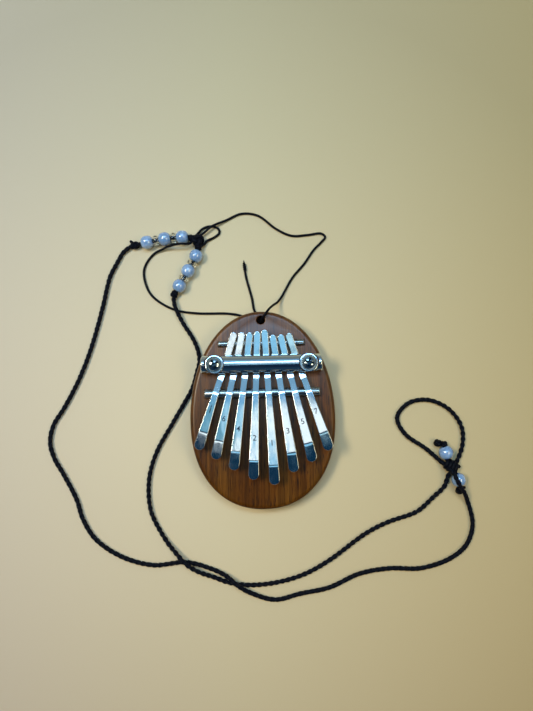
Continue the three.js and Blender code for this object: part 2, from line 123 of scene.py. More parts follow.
LEFT_BEADS = [(-34.9, 78.3, 3), (-42.9, 77.7, 3), (-50.9, 76.3, 3)]
LEFT_THREAD_ENDS = [(-31.9, 78.4, 2.9), (-53.9, 75.6, 2.8)]
RIGHT_BEADS = [(-28.7, 69.4, 3), (-32.4, 62.6, 3), (-36.4, 55.8, 3)]
RIGHT_THREAD_ENDS = [(-27.7, 72.1, 2.9), (-37.9, 53.4, 2.8)]
NECK_LEFT_ROUTE = [
    (-59.1, 74.6, 1.5), (-62.3, 72.1, 1.1), (-65.2, 67.0, 1.05), (-68.0, 61.5, 1.05),
    (-71.8, 45.4, 1.05), (-76.8, 27.6, 1.05), (-82.1, 14.0, 1.05), (-88.3, 2.1, 1.05),
    (-92.8, -5.2, 1.05), (-94.2, -12.6, 1.05), (-92.4, -19.3, 1.05), (-87.9, -27.0, 1.05),
    (-82.2, -37.7, 1.05), (-79.3, -46.2, 1.05), (-73.8, -54.7, 1.05), (-62.6, -62.3, 1.05),
    (-48.9, -66.2, 1.05), (-34.6, -65.3, 1.05), (-24.5, -68.0, 1.05), (-17.4, -71.1, 1.9),
    (-11.8, -75.1, 3.6), (-6.9, -78.4, 1.9), (3.4, -81.7, 1.05), (14.2, -79.5, 1.05),
    (27.1, -77.1, 1.05), (39.8, -71.8, 1.05), (53.0, -69.8, 1.05), (66.7, -70.0, 1.05),
    (79.7, -66.1, 1.05), (86.9, -60.5, 1.05), (90.0, -52.8, 1.05), (89.5, -46.4, 1.1),
    (88.3, -42.4, 1.6), (86.4, -38.8, 4.4), (84.4, -35.9, 6.2), (82.8, -33.3, 7.2),
    (82.0, -31.4, 7.0), (81.6, -29.6, 5.7),
]
NECK_LOOP_ROUTE = [
    (77.4, -24.7, 1.3), (71.5, -19.2, 1.05), (62.5, -12.5, 1.05), (59.4, -5.2, 1.05),
    (64.6, 0.9, 1.05), (73.5, 2.2, 1.05), (82.5, -2.1, 1.05), (87.6, -9.8, 1.05),
    (87.7, -17.5, 1.05), (84.9, -24.4, 1.3),
]
NECK_RIGHT_ROUTE = [
    (80.8, -30.4, 1.4), (78.6, -35.6, 1.05), (73.6, -40.1, 1.05), (66.1, -46.1, 1.05),
    (52.5, -50.6, 1.05), (43.0, -55.2, 1.05), (27.8, -65.5, 1.05), (16.6, -71.3, 1.05),
    (3.6, -74.7, 1.05), (-7.9, -75.4, 1.05), (-16.2, -74.2, 1.05), (-22.2, -71.9, 1.3),
    (-29.2, -68.9, 2.8), (-34.3, -65.4, 3.6), (-39.2, -60.5, 2.4), (-43.6, -55.2, 1.2),
    (-49.6, -43.6, 1.05), (-50.6, -30.6, 1.05), (-47.4, -18.6, 1.05), (-40.0, -5.5, 1.05),
    (-34.4, 3.9, 1.05), (-31.1, 10.0, 1.05), (-29.3, 16.0, 1.05), (-27.9, 22.5, 1.05),
    (-29.7, 30.0, 1.05), (-35.3, 39.6, 1.6), (-38.3, 46.2, 2.6), (-39.1, 49.7, 1.8),
]
NECK_ROUTE = (
    [(-28.6, 77.4, 2.6), LEFT_THREAD_ENDS[0], *LEFT_BEADS, LEFT_THREAD_ENDS[1], (-56.6, 75.4, 1.9)]
    + NECK_LEFT_ROUTE
    + [(80.0, -27.2, 3.2)]
    + NECK_LOOP_ROUTE
    + [(83.2, -27.4, 1.35)]
    + NECK_RIGHT_ROUTE
    + [(-38.9, 51.5, 1.9), RIGHT_THREAD_ENDS[1], *reversed(RIGHT_BEADS), RIGHT_THREAD_ENDS[0]]
    + [(-27.6, 74.9, 2.6)]
)
HANGER_LONG_ROUTE = [
    (0, 38.5, 2.6), (0.3, 38.8, 7.6), (0.9, 39.4, 9.7), (2.1, 40.9, 10.4), (3.7, 43.1, 9.6),
    (5.6, 45.4, 6.3), (7.6, 47.3, 3.1), (9.6, 50.1, 1.2), (11.4, 53.3, 0.65), (14.8, 59.0, 0.6),
    (20.4, 65.4, 0.6), (24.8, 71.6, 0.6), (28.4, 75.2, 0.6), (30.3, 77.6, 0.6),
    (28.6, 79.3, 0.6), (22.5, 78.8, 0.6), (14.9, 78.6, 0.6), (8.0, 81.9, 0.6),
    (-0.5, 88.5, 0.6), (-7.9, 89.5, 0.6), (-14.9, 86.5, 0.9), (-21.6, 83.2, 2.3),
    (-25.2, 80.3, 2.0),
]
BOW_ROUTE = [
    (-27.6, 80.7, 1.3), (-26.4, 82.3, 0.8), (-23.8, 83.7, 0.6), (-21.0, 83.8, 0.6),
    (-18.6, 82.6, 0.6), (-18.2, 80.6, 0.6), (-20.6, 78.6, 0.6), (-23.9, 76.9, 1.0),
]
HANGER_LEFT_ROUTE = [
    (-31.7, 75.1, 3.5), (-35.1, 74.6, 5.2), (-39.4, 74.4, 3.8), (-43.9, 73.4, 1.7),
    (-48.5, 71.2, 0.65), (-52.6, 64.8, 0.6), (-52.2, 58.3, 0.6), (-48.9, 51.8, 0.6),
    (-39.4, 45.6, 0.6), (-29.1, 43.6, 0.6), (-14.8, 43.1, 0.6), (-9.6, 42.2, 0.6),
    (-5.4, 40.6, 0.9), (-2.8, 39.5, 1.1),
]
HANGER_TAIL_ROUTE = [
    (0.9, 41.7, 1.0), (-1.3, 42.2, 0.8), (-2.8, 44.1, 0.65), (-3.8, 49.7, 0.6),
    (-6.3, 59.8, 0.6), (-6.9, 65.0, 0.6), (-7.3, 67.5, 0.6),
]
TURN_INTO_BOW = [(-27.7, 78.6, 2.0), (-29.0, 76.6, 2.2), (-28.0, 74.4, 2.2), (-25.8, 74.6, 1.7)]
TURN_OUT_OF_BOW = [(-29.2, 78.6, 2.3), (-30.0, 76.6, 3.0)]
TURN_BEHIND_BOARD = [(-0.6, 38.4, 1.2), (1.5, 38.4, 1.2), (2.2, 40.3, 1.1)]
HANGER_ROUTE = (
    [(0, 38.5, 0.9)]
    + HANGER_LONG_ROUTE
    + TURN_INTO_BOW
    + BOW_ROUTE[::-1]
    + TURN_OUT_OF_BOW
    + HANGER_LEFT_ROUTE
    + TURN_BEHIND_BOARD
    + HANGER_TAIL_ROUTE
)

# Camera -------------------------------------------------------------------------------------

CAMERA_PLACE = (2.19, 0.69, 239.25)
CAMERA_LENS = 27.04
CAMERA_TILT = math.radians(5.5)        # from straight down, towards +Y
CAMERA_ROLL = math.radians(1.3)


def make_camera():
    forward = Vector((0, math.sin(CAMERA_TILT), -math.cos(CAMERA_TILT)))
    up = Vector((0, math.cos(CAMERA_TILT), math.sin(CAMERA_TILT)))
    across = Vector((1, 0, 0))
    right = across * math.cos(CAMERA_ROLL) - up * math.sin(CAMERA_ROLL)
    up = up * math.cos(CAMERA_ROLL) + across * math.sin(CAMERA_ROLL)
    data = bpy.data.cameras.new("camera")
    data.lens = CAMERA_LENS
    data.sensor_width = 36
    data.clip_start = 0.01
    data.clip_end = 20
    camera = linked("camera", data)
    turn = Matrix((right, up, -forward)).transposed().to_4x4()
    camera.matrix_world = Matrix.Translation(Vector(CAMERA_PLACE) * MM) @ turn
    bpy.context.scene.camera = camera


# Node graph helpers -------------------------------------------------------------------------


class Graph:
    """The node tree of a material or a world, with short ways to add nodes."""

    def __init__(self, owner):
        owner.use_nodes = True
        self.tree = owner.node_tree

    def add(self, kind, options=None, **inputs):
        """A new node. inputs are values or other nodes' outputs, by socket name."""
        item = self.tree.nodes.new("ShaderNode" + kind)
        for option, value in (options or {}).items():
            setattr(item, option, value)
        for socket, value in inputs.items():
            self.put(item.inputs[socket.replace("_", " ")], value)
        return item

    def put(self, socket, value):
        if isinstance(value, bpy.types.NodeSocket):
            self.tree.links.new(value, socket)
        else:
            socket.default_value = value

    def noise(self, scale, detail=3, roughness=0.5, distortion=0.0):
        """Noise over object coordinates. scale is in 1/metre: one number, or one for each axis."""
        if not isinstance(scale, tuple):
            scale = grey(scale)
        place = self.add("Mapping", Vector=self.add("TexCoord").outputs["Object"], Scale=scale)
        item = self.add("TexNoise", Vector=place.outputs["Vector"], Scale=1, Detail=detail,
                        Roughness=roughness, Distortion=distortion)
        return item.outputs["Fac"]

    def ramp(self, value, stops):
        """Colours along a value: stops are (place, colour)."""
        item = self.add("ValToRGB", Fac=value)
        elements = item.color_ramp.elements
        while len(elements) < len(stops):
            elements.new(0.5)
        for element, (where, colour) in zip(elements, stops):
            element.position = where
            element.color = (*colour, 1)
        return item.outputs["Color"]

    def level(self, value, low, high, to_low=0.0, to_high=1.0):
        item = self.add("MapRange", Value=value, From_Min=low, From_Max=high, To_Min=to_low, To_Max=to_high)
        return item.outputs["Result"]

    def math(self, operation, first, second):
        item = self.add("Math", {"operation": operation})
        self.put(item.inputs[0], first)
        self.put(item.inputs[1], second)
        return item.outputs["Value"]

    def mix(self, amount, first, second, blend="MIX"):
        item = self.add("Mix", {"data_type": "RGBA", "blend_type": blend})
        self.put(item.inputs["Factor"], amount)
        self.put(item.inputs[6], first)
        self.put(item.inputs[7], second)
        return item.outputs[2]


class Finish(Graph):
    """A material's node tree, with its Principled shader."""

    def __init__(self, name, **values):
        self.material = bpy.data.materials.new(name)
        super().__init__(self.material)
        self.shader = self.tree.nodes["Principled BSDF"]
        for socket, value in values.items():
            self.shader.inputs[socket.replace("_", " ")].default_value = value

    def drive(self, socket, output):
        self.put(self.shader.inputs[socket], output)

    def bump(self, height, strength, distance):
        item = self.add("Bump", Height=height, Strength=strength, Distance=distance)
        self.drive("Normal", item.outputs["Normal"])


def grey(value):
    return (value, value, value)


# Materials ----------------------------------------------------------------------------------


def mahogany():
    """Mahogany: ribbons along Y, fine streaks, dark open pores, and lacquer worn towards the player."""
    g = Finish("mahogany", Coat_Roughness=0.32, Specular_IOR_Level=0.04)
    upward = g.add("SeparateXYZ", Vector=g.add("TexCoord").outputs["Object"]).outputs["Y"]
    g.drive("Coat Weight", g.level(upward, -0.032, 0.02, 0.12, 1.0))
    ribbons = g.noise((150, 9, 60), detail=4, roughness=0.6, distortion=0.6)
    streaks = g.noise((1100, 28, 600), detail=5, roughness=0.7)
    pores = g.noise((3000, 140, 3000), detail=2, roughness=0.6)
    colour = g.ramp(ribbons, [(0.3, (0.085, 0.025, 0.003)), (0.5, (0.11, 0.036, 0.0035)),
                              (0.72, (0.145, 0.056, 0.007))])
    streak_colour = g.ramp(streaks, [(0.34, grey(0.38)), (0.52, grey(0.95)), (0.72, grey(1.6))])
    colour = g.mix(0.85, colour, streak_colour, "MULTIPLY")
    pore_mask = g.level(pores, 0.58, 0.66)
    colour = g.mix(pore_mask, colour, (0.014, 0.006, 0.004, 1))
    g.drive("Base Color", colour)
    g.drive("Roughness", g.level(streaks, 0.3, 0.7, 0.5, 0.36))
    height = g.math("SUBTRACT", g.math("MULTIPLY", streaks, 0.35), pore_mask)
    g.bump(height, 0.25, 0.0001)
    return g.material


def plated_steel(name, colour, rough_low, rough_high, wave):
    """Nickel-plated steel: a slightly wavy surface, fine rubbed lines and duller worn patches."""
    g = Finish(name, Base_Color=(*colour, 1), Metallic=1)
    patches = g.noise(260, roughness=0.6)
    lines = g.noise((5200, 420, 2600), detail=2)
    g.drive("Roughness", g.level(patches, 0.35, 0.7, rough_low, rough_high))
    waves = g.noise((190, 70, 190), detail=2, roughness=0.45)
    height = g.math("ADD", g.math("MULTIPLY", waves, wave), g.math("MULTIPLY", lines, 0.005))
    g.bump(height, 0.35, 0.0006)
    return g.material


def stamped_mark():
    g = Finish("stamped_mark", Metallic=0.6)
    stain = g.noise(2500, detail=2)
    g.drive("Base Color", g.ramp(stain, [(0.3, (0.006, 0.018, 0.035)), (0.8, (0.03, 0.06, 0.10))]))
    g.drive("Roughness", g.level(stain, 0.3, 0.7, 0.45, 0.65))
    return g.material


def cord_fibre(name, colour, shine, across):
    """Near-black cord: fine filaments and a little wax, with painted shade on the low filaments and a
    painted highlight on the raised ones.
    """
    g = Finish(name, Sheen_Weight=0.015, Sheen_Roughness=0.4, IOR=1.4, Specular_IOR_Level=0.12)
    fibres = g.noise(across, roughness=0.7, distortion=1.2)
    wear = g.noise(420, roughness=0.6)
    # painted shade and painted highlight: the colour follows the filaments' relief, darker low and paler
    # raised
    dark = tuple(0.35 * c for c in colour)
    pale = tuple(2.6 * c + 0.001 for c in colour)
    base = g.ramp(fibres, [(0.3, dark), (0.55, colour), (0.82, pale)])
    g.drive("Base Color", base)
    g.drive("Roughness", g.level(wear, 0.3, 0.75, shine, shine + 0.2))
    g.bump(fibres, 0.6, 0.00012)
    return g.material


def milky_glass():
    """Opal bead glass, periwinkle and slightly cloudy."""
    g = Finish("milky_glass", Roughness=0.13, IOR=1.5, Subsurface_Weight=0.55,
              Subsurface_Scale=0.0018, Coat_Weight=1.0, Coat_Roughness=0.03, Coat_IOR=1.9)
    g.shader.inputs["Subsurface Radius"].default_value = (0.6, 0.8, 1.0)
    cloud = g.noise(330, roughness=0.55, distortion=0.8)
    veins = g.noise(1500, detail=2)
    colour = g.ramp(cloud, [(0.3, (0.16, 0.31, 0.56)), (0.5, (0.22, 0.38, 0.66)),
                            (0.75, (0.38, 0.54, 0.80))])
    colour = g.mix(g.level(veins, 0.5, 0.8, 0, 0.2), colour, (0.62, 0.76, 0.95, 1))
    g.drive("Base Color", colour)
    g.bump(veins, 0.08, 0.0001)
    return g.material


def clear_glass():
    g = Finish("clear_glass", Base_Color=(0.96, 0.97, 0.95, 1), Roughness=0.03, IOR=1.46,
              Transmission_Weight=1)
    ripple = g.noise(900, detail=2)
    g.bump(ripple, 0.12, 0.0002)
    return g.material


def table_top():
    """Plain pale yellow table, with painted light: a tint that turns yellower and darker to the right and
    warmer towards the bottom, and painted shade darker away from its middle.
    """
    g = Finish("table_top", Roughness=0.62, IOR=1.4)
    place = g.add("TexCoord").outputs["Object"]
    split = g.add("SeparateXYZ", Vector=place)
    # painted light: the colour turns yellower and darker to the right
    across = g.level(split.outputs["X"], -0.13, 0.13)
    colour = g.ramp(across, [(0, (0.72, 0.655, 0.53)), (0.45, (0.74, 0.66, 0.44)),
                             (1, (0.70, 0.57, 0.30))])
    # painted light: a warmer tint towards the bottom, a greyer one towards the top
    upward = g.level(split.outputs["Y"], -0.13, 0.13)
    painted_tint = g.ramp(upward, [(0, (1, 0.93, 0.90)), (1, (0.91, 0.92, 0.92))])
    colour = g.mix(1, colour, painted_tint, "MULTIPLY")
    # painted shade: darker away from a painted pool of light near the middle
    middle = g.add("VectorMath", {"operation": "DISTANCE"})
    g.put(middle.inputs[0], place)
    middle.inputs[1].default_value = (-0.02, 0.0, 0)
    painted_falloff = g.ramp(g.level(middle.outputs["Value"], 0.04, 0.2), [(0, grey(1)), (1, grey(0.7))])
    colour = g.mix(1, colour, painted_falloff, "MULTIPLY")
    g.drive("Base Color", colour)
    fine = g.noise(900, detail=2)
    g.bump(fine, 0.03, 0.0002)
    return g.material


WOOD = mahogany()
TINE_STEEL = plated_steel("tine_steel", (0.70, 0.78, 0.81), 0.05, 0.13, 0.4)
BAR_STEEL = plated_steel("bar_steel", (0.64, 0.72, 0.77), 0.07, 0.14, 0.2)
ROD_STEEL = plated_steel("rod_steel", (0.40, 0.47, 0.50), 0.2, 0.34, 0.2)
SCREW_STEEL = plated_steel("screw_steel", (0.48, 0.61, 0.70), 0.1, 0.2, 0.12)
# painted shade: near-black steel for the inside of the screws' cross recess and pit, where shade falls
RECESS_PAINTED_SHADE = plated_steel("recess_painted_shade", (0.012, 0.03, 0.05), 0.4, 0.55, 0.1)
STAMPED_MARK = stamped_mark()
BRAID_FIBRE = cord_fibre("braided_cord", (0.0026, 0.0042, 0.0105), 0.4, 6500)
WAXED_FIBRE = cord_fibre("waxed_cord", (0.0024, 0.0036, 0.0085), 0.34, 4200)
MILKY_GLASS = milky_glass()
CLEAR_GLASS = clear_glass()


# Mesh helpers -------------------------------------------------------------------------------


def linked(name, data):
    """A new object with this data, in the scene."""
    thing = bpy.data.objects.new(name, data)
    bpy.context.collection.objects.link(thing)
    return thing


def new_object(name, vertices, faces, material, sharp=35):
    """A shaded object from millimetre points; edges sharper than the angle stay crisp."""
    mesh = bpy.data.meshes.new(name)
    mesh.from_pydata((np.asarray(vertices, float) * MM).tolist(), [], [list(f) for f in faces])
    mesh.materials.append(material)
    tidy = bmesh.new()
    tidy.from_mesh(mesh)
    bmesh.ops.recalc_face_normals(tidy, faces=tidy.faces)
    tidy.to_mesh(mesh)
    tidy.free()
    thing = linked(name, mesh)
    shade(thing, sharp)
    return thing


def shade(thing, sharp):
    mesh = thing.data
    mesh.polygons.foreach_set("use_smooth", [True] * len(mesh.polygons))
    mesh.set_sharp_from_angle(angle=math.radians(sharp))


def finish_piece(thing, replaced):
    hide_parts(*replaced)
    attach(thing, "root")
    return thing


def box_in_mm(node):
    """Lowest and highest corner of a CAD node's box, in millimetres."""
    return [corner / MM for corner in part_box(node)]


def carve(thing, cutters, sharp=35):
    """Cuts the cutters out of the thing, for good."""
    for cutter in cutters:
        modifier = thing.modifiers.new("cut", "BOOLEAN")
        modifier.operation = "DIFFERENCE"
        modifier.solver = "EXACT"
        modifier.material_mode = "TRANSFER"
        modifier.object = cutter
    bpy.context.view_layer.update()
    shaped = thing.evaluated_get(bpy.context.evaluated_depsgraph_get())
    mesh = bpy.data.meshes.new_from_object(shaped)
    thing.modifiers.clear()
    thing.data = mesh
    for cutter in cutters:
        bpy.data.objects.remove(cutter)
    shade(thing, sharp)


def lathe(profile, sides):
    """Points and faces of a profile of (radius, height) turned about Z; it may close on itself."""
    turns = np.arange(sides) * 2 * math.pi / sides
    vertices, rings = [], []
    for radius, height in profile:
        if radius < 1e-6:
            rings.append([len(vertices)] * sides)
            vertices.append((0, 0, height))
        else:
            rings.append(list(range(len(vertices), len(vertices) + sides)))
            vertices += [(radius * math.cos(t), radius * math.sin(t), height) for t in turns]
    faces = []
    pairs = list(zip(rings, rings[1:]))
    if profile[0][0] > 1e-6 and profile[-1][0] > 1e-6:
        pairs.append((rings[-1], rings[0]))
    for low, high in pairs:
        for i in range(sides):
            j = (i + 1) % sides
            corners = list(dict.fromkeys([low[i], low[j], high[j], high[i]]))
            if len(corners) > 2:
                faces.append(corners)
    return np.array(vertices, float), faces


def ring_faces(rings, sides, capped=True, closed=False):
    """Quads between rings of points, one after the other, and the two end faces if capped."""
    faces = []
    for ring in range(rings if closed else rings - 1):
        low, high = ring * sides, (ring + 1) % rings * sides
        for i in range(sides):
            j = (i + 1) % sides
            faces.append([low + i, low + j, high + j, high + i])
    if capped:
        faces.append(list(range(sides)))
        faces.append([(rings - 1) * sides + i for i in range(sides)])
    return faces


def turned_to(vertices, direction, centre):
    """Points about Z turned to lie along a direction, and moved."""
    turn = np.array(Vector((0, 0, 1)).rotation_difference(Vector(direction)).to_matrix())
    return vertices @ turn.T + np.array(centre, float)


def smooth_route(points, spacing):
    """Centripetal Catmull-Rom curve through the points, sampled about every spacing."""
    p = [np.array(q, float) for q in points]
    p = [2 * p[0] - p[1], *p, 2 * p[-1] - p[-2]]
    line = []
    for before, start, end, after in zip(p, p[1:], p[2:], p[3:]):
        first = max(np.linalg.norm(start - before) ** 0.5, 1e-4)
        middle = max(np.linalg.norm(end - start) ** 0.5, 1e-4)
        last = max(np.linalg.norm(after - end) ** 0.5, 1e-4)
        leave = (start - before) / first - (end - before) / (first + middle) + (end - start) / middle
        arrive = (end - start) / middle - (after - start) / (middle + last) + (after - end) / last
        leave, arrive = leave * middle, arrive * middle
        count = max(2, math.ceil(np.linalg.norm(end - start) / spacing))
        for i in range(count):
            t = i / count
            line.append(
                start * (2 * t**3 - 3 * t**2 + 1) + leave * (t**3 - 2 * t**2 + t)
                + end * (3 * t**2 - 2 * t**3) + arrive * (t**3 - t**2)
            )
    line.append(p[-2])
    return np.array(line)


def evenly(line, spacing):
    """The line again, with points the same distance apart."""
    along = np.concatenate([[0], np.cumsum(np.linalg.norm(np.diff(line, axis=0), axis=1))])
    at = np.linspace(0, along[-1], max(3, round(along[-1] / spacing) + 1))
    return np.stack([np.interp(at, along, line[:, k]) for k in range(3)], axis=1), at


def carried_axes(centres, closed=False):
    """Normals and binormals along a line, turning as little as they can."""
    if closed:
        tangents = np.roll(centres, -1, axis=0) - np.roll(centres, 1, axis=0)
    else:
        tangents = np.gradient(centres, axis=0)
    tangents = tangents / np.linalg.norm(tangents, axis=1)[:, None]
    normal = np.cross(tangents[0], (0, 0, 1))
    if np.linalg.norm(normal) < 0.1:
        normal = np.cross(tangents[0], (0, 1, 0))
    normals = []
    for tangent in tangents:
        normal = normal - tangent * normal.dot(tangent)
        normal = normal / np.linalg.norm(normal)
        normals.append(normal)
    normals = np.array(normals)
    if closed:
        back = normal - tangents[0] * normal.dot(tangents[0])
        miss = math.atan2(np.cross(back, normals[0]).dot(tangents[0]), back.dot(normals[0]))
        binormals = np.cross(tangents, normals)
        turn = (miss * np.arange(len(centres)) / len(centres))[:, None]
        normals = normals * np.cos(turn) + binormals * np.sin(turn)
    return normals, np.cross(tangents, normals)


def sweep(centres, radius, sides, closed=False):
    """Points and faces of a round tube through the centres, with rounded ends if it is open."""
    centres = np.asarray(centres, float)
    radii = np.full(len(centres), float(radius))
    if not closed:
        start = centres[0] - centres[1]
        end = centres[-1] - centres[-2]
        start, end = start / np.linalg.norm(start), end / np.linalg.norm(end)
        turns = [math.radians(a) for a in (30, 60, 80)]
        head = [centres[0] + start * radius * math.sin(a) for a in reversed(turns)]
        tail = [centres[-1] + end * radius * math.sin(a) for a in turns]
        centres = np.array([*head, *centres, *tail])
        tail_radii = [radius * math.cos(a) for a in turns]
        radii = np.array([*reversed(tail_radii), *radii, *tail_radii])
    normals, binormals = carried_axes(centres, closed)
    turn = (np.arange(sides) * 2 * math.pi / sides)[None, :, None]
    ring = np.cos(turn) * normals[:, None] + np.sin(turn) * binormals[:, None]
    vertices = (centres[:, None] + radii[:, None, None] * ring).reshape(-1, 3)
    return vertices, ring_faces(len(centres), sides, not closed, closed)


def joined(parts):
    """Several (points, faces) as one."""
    vertices, faces, start = [], [], 0
    for points, cells in parts:
        vertices.append(points)
        faces += [[start + c for c in cell] for cell in cells]
        start += len(points)
    return np.concatenate(vertices), faces


# Board --------------------------------------------------------------------------------------


def egg_point(angle, inset, half_width, half_length):
    """Point of the egg outline at an angle, moved in along its normal."""
    upper = math.sin(angle) >= 0
    power = BOARD_UPPER_POWER if upper else BOARD_LOWER_POWER
    reach = half_length - BOARD_WIDEST_Y if upper else half_length + BOARD_WIDEST_Y
    u = math.copysign(abs(math.cos(angle)) ** (2 / power), math.cos(angle))
    v = math.copysign(abs(math.sin(angle)) ** (2 / power), math.sin(angle))
    normal = Vector((math.copysign(abs(u) ** (power - 1), u) / half_width,
                     math.copysign(abs(v) ** (power - 1), v) / reach)).normalized()
    return u * half_width - normal.x * inset, BOARD_WIDEST_Y + v * reach - normal.y * inset


def quarter_turns(steps):
    return [i / steps * math.pi / 2 for i in range(steps + 1)]


def edge_round(radius, face_z, direction, steps):
    """Quarter round as (inset, height), from a flat face to the upright wall."""
    return [(radius * (1 - math.sin(t)), face_z + direction * radius * (1 - math.cos(t)))
            for t in quarter_turns(steps)]


def upright_cutter(radius, low, high, x, y, flare=0.0, sides=64):
    """A round cutter about Z. A flare widens its top, which rounds the edge of the hole."""
    profile = [(0, low), (radius, low)]
    if flare:
        profile += [(radius + flare * (1 - math.cos(t)), high - flare * (2 - math.sin(t)))
                    for t in quarter_turns(4)]
    profile += [(radius + flare, high), (0, high)]
    vertices, faces = lathe(profile, sides)
    return new_object("cutter", vertices + np.array((x, y, 0)), faces, WOOD)


def rod_cutter(radius, length, y, z):
    half = length / 2
    vertices, faces = lathe([(0, -half), (radius, -half), (radius, half), (0, half)], 64)
    return new_object("cutter", turned_to(vertices, (1, 0, 0), (0, y, z)), faces, WOOD)


def relief_cutter():
    """The recess at the back: a slot with a round inner end, open at the top edge."""
    steps = 32
    centre_y = HOLE_Y - 1
    open_y = centre_y + 12
    turns = [math.pi + i / steps * math.pi for i in range(steps + 1)]
    levels = [(-1, 0.35), (0, 0.35), (0.2, 0.1), (0.35, 0.0), (RELIEF_DEPTH - 0.4, 0.0),
              (RELIEF_DEPTH - 0.12, -0.12), (RELIEF_DEPTH, -0.4)]
    vertices = []
    for z, wider in levels:
        radius = RELIEF_R + wider
        vertices += [(RELIEF_X + radius * math.cos(t), centre_y + radius * math.sin(t), z) for t in turns]
        vertices += [(RELIEF_X + radius, open_y, z), (RELIEF_X - radius, open_y, z)]
    return new_object("cutter", vertices, ring_faces(len(levels), len(turns) + 2), WOOD)


def make_board():
    _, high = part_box("body_board")
    half_width = high.x / MM
    half_length = high.y / MM
    thick = high.z / MM
    sides = 288
    support = 0.25                       # flat strip that keeps the faces flat next to the rounds
    bottom = edge_round(BOARD_EDGE_BACK, 0, 1, 10)
    top = edge_round(BOARD_EDGE_TOP, thick, -1, 8)
    profile = [(BOARD_EDGE_BACK + support, 0), *bottom, *reversed(top)]
    profile.append((BOARD_EDGE_TOP + support, thick))
    turns = [2 * math.pi * (i + 0.5) / sides for i in range(sides)]
    vertices = []
    for inset, z in profile:
        vertices += [(*egg_point(turn, inset, half_width, half_length), z) for turn in turns]
    board = new_object("wood_board", vertices, ring_faces(len(profile), sides), WOOD)
    cutters = []
    for node in ("front_bridge_rod", "rear_bridge_rod"):
        rod_low, rod_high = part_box(node)
        middle = (rod_low + rod_high) / 2 / MM
        radius = (rod_high.y - rod_low.y) / 2 / MM
        length = (rod_high.x - rod_low.x) / MM
        cutters.append(rod_cutter(radius + GAP, length + 2 * GAP, middle.y, middle.z))
    cutters.append(relief_cutter())
    flare = 0.35
    cutters.append(upright_cutter(HOLE_R, -1, thick + flare, 0, HOLE_Y, flare))
    bar_y = sum(corner.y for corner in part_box("pressure_bar")) / 2 / MM
    for x in (-SCREW_X, SCREW_X):
        cutters.append(upright_cutter(SHANK_R + GAP, SHANK_FOOT_Z - GAP, thick + 1, x, bar_y, sides=32))
    carve(board, cutters)
    finish_piece(board, ["body_board"])


# Bridge rods, pressure bar, washers and screws ----------------------------------------------


def make_rod(name, node):
    low, high = box_in_mm(node)
    radius = (high.y - low.y) / 2
    half = (high.x - low.x) / 2
    end = [(radius - inset, x) for inset, x in edge_round(radius / 4, half, -1, 4)]
    profile = [(0, -half), *[(r, -x) for r, x in end], *reversed(end), (0, half)]
    vertices, faces = lathe(profile, 56)
    rod = new_object(name, turned_to(vertices, (1, 0, 0), (low + high) / 2), faces, ROD_STEEL)
    finish_piece(rod, [node])


def bar_section(half_width, rise, count):
    """Closed outline in (y, z) about the waist: a round top and a flatter belly."""
    outline = []
    for i in range(count):
        turn = 2 * math.pi * i / count
        height = rise if math.sin(turn) >= 0 else BAR_DROP
        outline.append((half_width * math.cos(turn), height * math.sin(turn)))
    return outline


def make_bar():
    low, high = box_in_mm("pressure_bar")
    half = (high.x - low.x) / 2
    half_width = (high.y - low.y) / 2
    bar_y = (high.y + low.y) / 2
    waist = low.z + BAR_DROP
    count = 72
    outline = bar_section(half_width, high.z - waist, count)
    ends = reversed(edge_round(BAR_END_ROUND, 0, 1, 5))
    stations = [(-half + run, inset) for run, inset in ends]
    stations += [(-x, inset) for x, inset in reversed(stations)]
    vertices = []
    for x, inset in stations:
        keep = 1 - inset / half_width
        vertices += [(x, bar_y + y * keep, waist + BAR_END_CENTRE + (z - BAR_END_CENTRE) * keep)
                     for y, z in outline]
    bar = new_object("clamp_bar", vertices, ring_faces(len(stations), count), BAR_STEEL)
    cutters = []
    for x in (-SCREW_X, SCREW_X):
        cutters.append(upright_cutter(SEAT_R, SEAT_Z, SEAT_Z + 5, x, bar_y))
        cutters.append(upright_cutter(SCREW_HOLE_R, SEAT_Z - 6, SEAT_Z + 1, x, bar_y))
    carve(bar, cutters)
    finish_piece(bar, ["pressure_bar"])


def make_washer(side):
    low, high = box_in_mm(f"washer_{side}")
    radius = (high.x - low.x) / 2
    centre = ((low.x + high.x) / 2, (low.y + high.y) / 2, 0)
    soft, lip, sink = 0.22, 0.1, 0.14    # upper and lower edges, and the sunk ring under the head
    profile = [
        (SCREW_HOLE_R, low.z + lip), (SCREW_HOLE_R + lip, low.z), (radius - lip, low.z),
        (radius, low.z + lip), (radius, high.z - soft), (radius - 0.3 * soft, high.z - 0.3 * soft),
        (radius - soft, high.z), (radius - 0.75, high.z), (radius - 0.95, high.z - sink),
        (SCREW_HOLE_R + soft, high.z - sink), (SCREW_HOLE_R, high.z - sink - soft),
    ]
    vertices, faces = lathe(profile, 72)
    washer = new_object(f"seat_washer_{side}", vertices + np.array(centre), faces, SCREW_STEEL, 25)
    finish_piece(washer, [f"washer_{side}"])


def cross_cutter(top):
    """A cross recess whose wings narrow towards the bottom."""
    parts = []
    for upright in (False, True):
        vertices = []
        for z, keep in ((top + 0.5, 1.0), (top - 0.2, 1.0), (top - RECESS_DEPTH, 0.55)):
            x, y = RECESS_LENGTH / 2 * keep, RECESS_WIDTH / 2 * (0.5 + 0.5 * keep)
            if upright:
                x, y = y, x
            vertices += [(-x, -y, z), (x, -y, z), (x, y, z), (-x, y, z)]
        faces = [[0, 1, 2, 3], [8, 9, 10, 11], *ring_faces(3, 4, capped=False)]
        parts.append(new_object("cutter", vertices, faces, RECESS_PAINTED_SHADE))
    return parts


